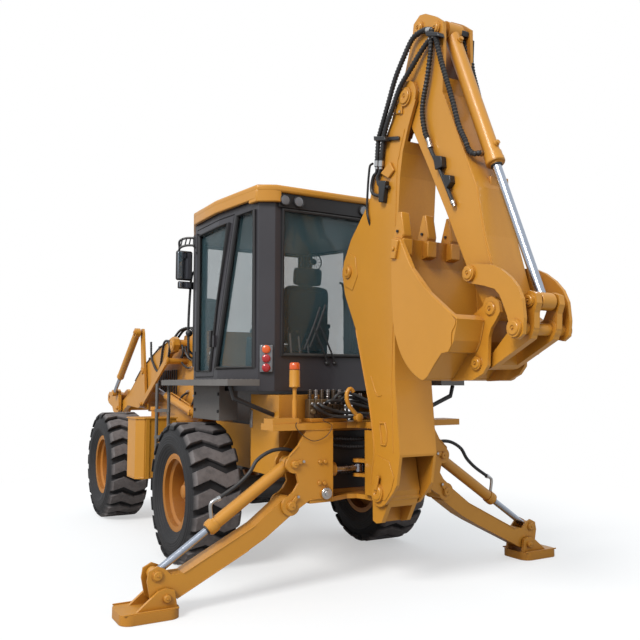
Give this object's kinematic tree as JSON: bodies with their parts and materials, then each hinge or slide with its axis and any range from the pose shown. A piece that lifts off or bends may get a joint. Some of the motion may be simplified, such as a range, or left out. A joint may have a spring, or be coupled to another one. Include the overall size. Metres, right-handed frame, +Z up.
{
  "type": "backhoe loader",
  "caption": "Articulated backhoe loader with a hollow glazed cab, a swinging digging arm and bucket on splayed stabiliser legs, and loader arms with an open attachment carrier.",
  "frame": {"origin": "on the ground under the middle of the machine's whole length and width", "axes": "+Y toward the loader end, +Z up, +X to the operator's right when the loader end is ahead"},
  "size_m": [3.58, 6.905, 3.806],
  "materials": {
    "yellow_paint": "semi-gloss yellow coat",
    "dark_paint": "satin dark grey coat",
    "grey_paint": "satin black coat",
    "tyre_rubber": "matt",
    "chrome_rod": "polished",
    "pane": "clear, lightly tinted",
    "lamp_plastic": "gloss",
    "seat_fabric": "matt",
    "valve_steel": "satin black coat",
    "mirror_shell": "matt",
    "pin_steel": "bright"
  },
  "bodies": {
    "chassis": {"rear_frame": "yellow_paint", "rear_axle": "grey_paint", "stabiliser_frame": "yellow_paint", "swing_barrels": "yellow_paint", "cab_frame": "dark_paint", "cab_glass": "pane", "cab_roof": "yellow_paint", "operator_station": "seat_fabric", "platforms": "grey_paint", "valve_bank": "valve_steel", "lamps": "lamp_plastic", "mirrors": "mirror_shell"},
    "front_body": {"front_frame": "yellow_paint", "front_axle": "grey_paint", "hood": "yellow_paint", "air_intake": "grey_paint", "fuel_tank": "yellow_paint"},
    "rear_wheel_left": {"tyre_rear_left": "tyre_rubber", "rim_rear_left": "yellow_paint"},
    "rear_wheel_right": {"tyre_rear_right": "tyre_rubber", "rim_rear_right": "yellow_paint"},
    "front_wheel_left": {"tyre_front_left": "tyre_rubber", "rim_front_left": "yellow_paint"},
    "front_wheel_right": {"tyre_front_right": "tyre_rubber", "rim_front_right": "yellow_paint"},
    "door_left": {"door_left": "dark_paint", "door_pane_left": "pane"},
    "swing_rod_left": {"swing_rod_left": "chrome_rod"},
    "door_right": {"door_right": "dark_paint", "door_pane_right": "pane"},
    "swing_rod_right": {"swing_rod_right": "chrome_rod"},
    "swing_post": {"swing_post": "yellow_paint"},
    "boom": {"boom": "yellow_paint"},
    "boom_barrel": {"boom_barrel": "yellow_paint"},
    "boom_rod": {"boom_rod": "chrome_rod"},
    "dipper": {"dipper": "yellow_paint"},
    "crowd_barrel": {"crowd_barrel": "yellow_paint"},
    "crowd_rod": {"crowd_rod": "chrome_rod"},
    "bucket": {"bucket": "yellow_paint"},
    "side_links": {"side_links": "yellow_paint"},
    "bucket_link": {"bucket_link": "yellow_paint"},
    "bucket_barrel": {"bucket_barrel": "yellow_paint"},
    "bucket_rod": {"bucket_rod": "chrome_rod"},
    "stabiliser_leg_left": {"stabiliser_leg_left": "yellow_paint"},
    "stabiliser_pad_left": {"stabiliser_pad_left": "yellow_paint"},
    "stabiliser_left_barrel": {"stabiliser_barrel_left": "yellow_paint"},
    "stabiliser_left_rod": {"stabiliser_rod_left": "chrome_rod"},
    "stabiliser_leg_right": {"stabiliser_leg_right": "yellow_paint"},
    "stabiliser_pad_right": {"stabiliser_pad_right": "yellow_paint"},
    "stabiliser_right_barrel": {"stabiliser_barrel_right": "yellow_paint"},
    "stabiliser_right_rod": {"stabiliser_rod_right": "chrome_rod"},
    "loader_arms": {"loader_arms": "yellow_paint"},
    "lift_barrel": {"lift_barrels": "yellow_paint"},
    "lift_rod": {"lift_rods": "chrome_rod"},
    "level_levers": {"level_levers": "yellow_paint"},
    "level_links": {"level_links": "yellow_paint"},
    "nose_pins": {"nose_pins": "pin_steel"},
    "carrier": {"carrier": "yellow_paint"},
    "tilt_barrel": {"tilt_barrels": "yellow_paint"},
    "tilt_rod": {"tilt_rods": "chrome_rod"}
  },
  "joints": [
    {"name": "articulation", "type": "hinge", "parent": "chassis", "child": "front_body", "pos_m": [0, 0.7075, 0.8], "axis": [0, 0, 1], "range_deg": [-35, 35]},
    {"name": "rear_wheel_left_roll", "type": "hinge", "parent": "chassis", "child": "rear_wheel_left", "pos_m": [-0.87, -0.4775, 0.55], "axis": [1, 0, 0], "continuous": true},
    {"name": "rear_wheel_right_roll", "type": "hinge", "parent": "chassis", "child": "rear_wheel_right", "pos_m": [0.87, -0.4775, 0.55], "axis": [1, 0, 0], "continuous": true},
    {"name": "front_wheel_left_roll", "type": "hinge", "parent": "front_body", "child": "front_wheel_left", "pos_m": [-0.87, 1.8925, 0.55], "axis": [1, 0, 0], "continuous": true},
    {"name": "front_wheel_right_roll", "type": "hinge", "parent": "front_body", "child": "front_wheel_right", "pos_m": [0.87, 1.8925, 0.55], "axis": [1, 0, 0], "continuous": true},
    {"name": "door_left_swing", "type": "hinge", "parent": "chassis", "child": "door_left", "pos_m": [-0.812, -0.3155, 2.1], "axis": [0, 0, -1], "range_deg": [0, 80]},
    {"name": "door_right_swing", "type": "hinge", "parent": "chassis", "child": "door_right", "pos_m": [0.812, -0.3155, 2.1], "axis": [0, 0, 1], "range_deg": [0, 80]},
    {"name": "boom_swing", "type": "hinge", "parent": "chassis", "child": "swing_post", "pos_m": [0, -1.8275, 0.86], "axis": [0, 0, 1], "range_deg": [-65, 65]},
    {"name": "swing_rod_left_slide", "type": "slide", "parent": "chassis", "child": "swing_rod_left", "axis": [1, 0, 0], "range_m": [-0.1136, 0.1136]},
    {"name": "swing_rod_right_slide", "type": "slide", "parent": "chassis", "child": "swing_rod_right", "axis": [1, 0, 0], "range_m": [-0.1136, 0.1136]},
    {"name": "boom_lift", "type": "hinge", "parent": "swing_post", "child": "boom", "pos_m": [0, -2.0505, 0.685], "axis": [1, 0, 0], "range_deg": [0, 100]},
    {"name": "boom_barrel_pivot", "type": "hinge", "parent": "swing_post", "child": "boom_barrel", "pos_m": [0, -2.0095, 1.032], "axis": [1, 0, 0], "range_deg": [0, 116.97]},
    {"name": "boom_rod_slide", "type": "slide", "parent": "boom_barrel", "child": "boom_rod", "axis": [0, 0.2604, 0.9655], "range_m": [0, 0.334]},
    {"name": "dipper_fold", "type": "hinge", "parent": "boom", "child": "dipper", "pos_m": [0, -2.4005, 3.291], "axis": [1, 0, 0], "range_deg": [-100, 0]},
    {"name": "crowd_barrel_pivot", "type": "hinge", "parent": "boom", "child": "crowd_barrel", "pos_m": [0, -1.8775, 2.56], "axis": [1, 0, 0], "range_deg": [-26.12, 0]},
    {"name": "crowd_rod_slide", "type": "slide", "parent": "crowd_barrel", "child": "crowd_rod", "axis": [0, -0.4802, 0.8772], "range_m": [-0.5021, 0]},
    {"name": "bucket_curl", "type": "hinge", "parent": "dipper", "child": "bucket", "pos_m": [0, -3.1535, 1.822], "axis": [1, 0, 0], "range_deg": [-140, 0]},
    {"name": "side_link_pivot", "type": "hinge", "parent": "dipper", "child": "side_links", "pos_m": [0, -3.0255, 2.034], "axis": [1, 0, 0], "range_deg": [-81.76, 0]},
    {"name": "bucket_link_pivot", "type": "hinge", "parent": "side_links", "child": "bucket_link", "pos_m": [0, -3.3675, 1.7], "axis": [1, 0, 0], "range_deg": [0, 5.25]},
    {"name": "bucket_barrel_pivot", "type": "hinge", "parent": "dipper", "child": "bucket_barrel", "pos_m": [0, -2.6825, 3.645], "axis": [1, 0, 0], "range_deg": [-5.84, 0]},
    {"name": "bucket_rod_slide", "type": "slide", "parent": "bucket_barrel", "child": "bucket_rod", "axis": [0, -0.3704, -0.9289], "range_m": [-0.5365, 0]},
    {"name": "stabiliser_left_raise", "type": "hinge", "parent": "chassis", "child": "stabiliser_leg_left", "pos_m": [-0.662, -1.6725, 0.597], "axis": [0, -1, 0], "range_deg": [-72, 0]},
    {"name": "stabiliser_pad_left_tilt", "type": "hinge", "parent": "stabiliser_leg_left", "child": "stabiliser_pad_left", "pos_m": [-1.507, -1.6725, 0.117], "axis": [0, -1, 0], "range_deg": [-20, 20]},
    {"name": "stabiliser_left_barrel_pivot", "type": "hinge", "parent": "chassis", "child": "stabiliser_left_barrel", "pos_m": [-0.637, -1.6725, 0.869], "axis": [0, -1, 0], "range_deg": [-70.35, 0]},
    {"name": "stabiliser_left_rod_slide", "type": "slide", "parent": "stabiliser_left_barrel", "child": "stabiliser_left_rod", "axis": [-0.8295, 0, -0.5584], "range_m": [-0.3134, 0]},
    {"name": "stabiliser_right_raise", "type": "hinge", "parent": "chassis", "child": "stabiliser_leg_right", "pos_m": [0.662, -1.6725, 0.597], "axis": [0, 1, 0], "range_deg": [-72, 0]},
    {"name": "stabiliser_pad_right_tilt", "type": "hinge", "parent": "stabiliser_leg_right", "child": "stabiliser_pad_right", "pos_m": [1.507, -1.6725, 0.117], "axis": [0, 1, 0], "range_deg": [-20, 20]},
    {"name": "stabiliser_right_barrel_pivot", "type": "hinge", "parent": "chassis", "child": "stabiliser_right_barrel", "pos_m": [0.637, -1.6725, 0.869], "axis": [0, 1, 0], "range_deg": [-70.35, 0]},
    {"name": "stabiliser_right_rod_slide", "type": "slide", "parent": "stabiliser_right_barrel", "child": "stabiliser_right_rod", "axis": [0.8295, 0, -0.5584], "range_m": [-0.3134, 0]},
    {"name": "loader_lift", "type": "hinge", "parent": "front_body", "child": "loader_arms", "pos_m": [0, 1.0525, 1.81], "axis": [1, 0, 0], "range_deg": [-22, 50]},
    {"name": "lift_barrel_pivot", "type": "hinge", "parent": "front_body", "child": "lift_barrel", "pos_m": [0, 0.7125, 1.12], "axis": [1, 0, 0], "range_deg": [-12.83, 29.17]},
    {"name": "lift_rod_slide", "type": "slide", "parent": "lift_barrel", "child": "lift_rod", "axis": [0, 0.9809, 0.1945], "range_m": [-0.2032, 0.4617]},
    {"name": "level_lever_pivot", "type": "hinge", "parent": "loader_arms", "child": "level_levers", "pos_m": [0, 1.9725, 1.55], "axis": [1, 0, 0], "range_deg": [-21.19, 9.32]},
    {"name": "level_link_pivot", "type": "hinge", "parent": "front_body", "child": "level_links", "pos_m": [0, 1.0825, 1.64], "axis": [1, 0, 0], "range_deg": [-22.85, 51.94]},
    {"name": "nose_level", "type": "hinge", "parent": "loader_arms", "child": "nose_pins", "pos_m": [0, 2.9725, 1.11], "axis": [1, 0, 0], "range_deg": [-50.03, 22.01]},
    {"name": "carrier_tilt", "type": "hinge", "parent": "nose_pins", "child": "carrier", "pos_m": [0, 2.9725, 1.11], "axis": [1, 0, 0], "range_deg": [-60, 40]},
    {"name": "tilt_barrel_pivot", "type": "hinge", "parent": "level_levers", "child": "tilt_barrel", "pos_m": [0, 2.0425, 1.985], "axis": [1, 0, 0], "range_deg": [-9, 20.45]},
    {"name": "tilt_rod_slide", "type": "slide", "parent": "tilt_barrel", "child": "tilt_rod", "axis": [0, 0.8087, -0.5882], "range_m": [-0.0834, 0.1251]}
  ],
  "couplings": [
    {"joint": "swing_rod_left_slide", "follows": "boom_swing", "m_per_rad": -0.1},
    {"joint": "swing_rod_right_slide", "follows": "boom_swing", "m_per_rad": -0.1},
    {"joint": "boom_barrel_pivot", "follows": "boom_lift", "ratio": 1.1691},
    {"joint": "boom_rod_slide", "follows": "boom_lift", "m_per_rad": 0.1912},
    {"joint": "crowd_barrel_pivot", "follows": "dipper_fold", "ratio": 0.2611},
    {"joint": "crowd_rod_slide", "follows": "dipper_fold", "m_per_rad": 0.2875},
    {"joint": "side_link_pivot", "follows": "bucket_curl", "ratio": 0.5837},
    {"joint": "bucket_link_pivot", "follows": "bucket_curl", "ratio": -0.0375},
    {"joint": "bucket_barrel_pivot", "follows": "bucket_curl", "ratio": 0.0417},
    {"joint": "bucket_rod_slide", "follows": "bucket_curl", "m_per_rad": 0.2194},
    {"joint": "stabiliser_left_barrel_pivot", "follows": "stabiliser_left_raise", "ratio": 0.9766},
    {"joint": "stabiliser_left_rod_slide", "follows": "stabiliser_left_raise", "m_per_rad": 0.2492},
    {"joint": "stabiliser_right_barrel_pivot", "follows": "stabiliser_right_raise", "ratio": 0.9766},
    {"joint": "stabiliser_right_rod_slide", "follows": "stabiliser_right_raise", "m_per_rad": 0.2492},
    {"joint": "lift_barrel_pivot", "follows": "loader_lift", "ratio": 0.5831},
    {"joint": "lift_rod_slide", "follows": "loader_lift", "m_per_rad": 0.5287},
    {"joint": "level_lever_pivot", "follows": "loader_lift", "ratio": -0.4236},
    {"joint": "level_link_pivot", "follows": "loader_lift", "ratio": 1.0383},
    {"joint": "nose_level", "follows": "loader_lift", "ratio": -1},
    {"joint": "tilt_barrel_pivot", "follows": "loader_lift", "ratio": 0.4088},
    {"joint": "tilt_rod_slide", "follows": "carrier_tilt", "m_per_rad": -0.1193}
  ]
}
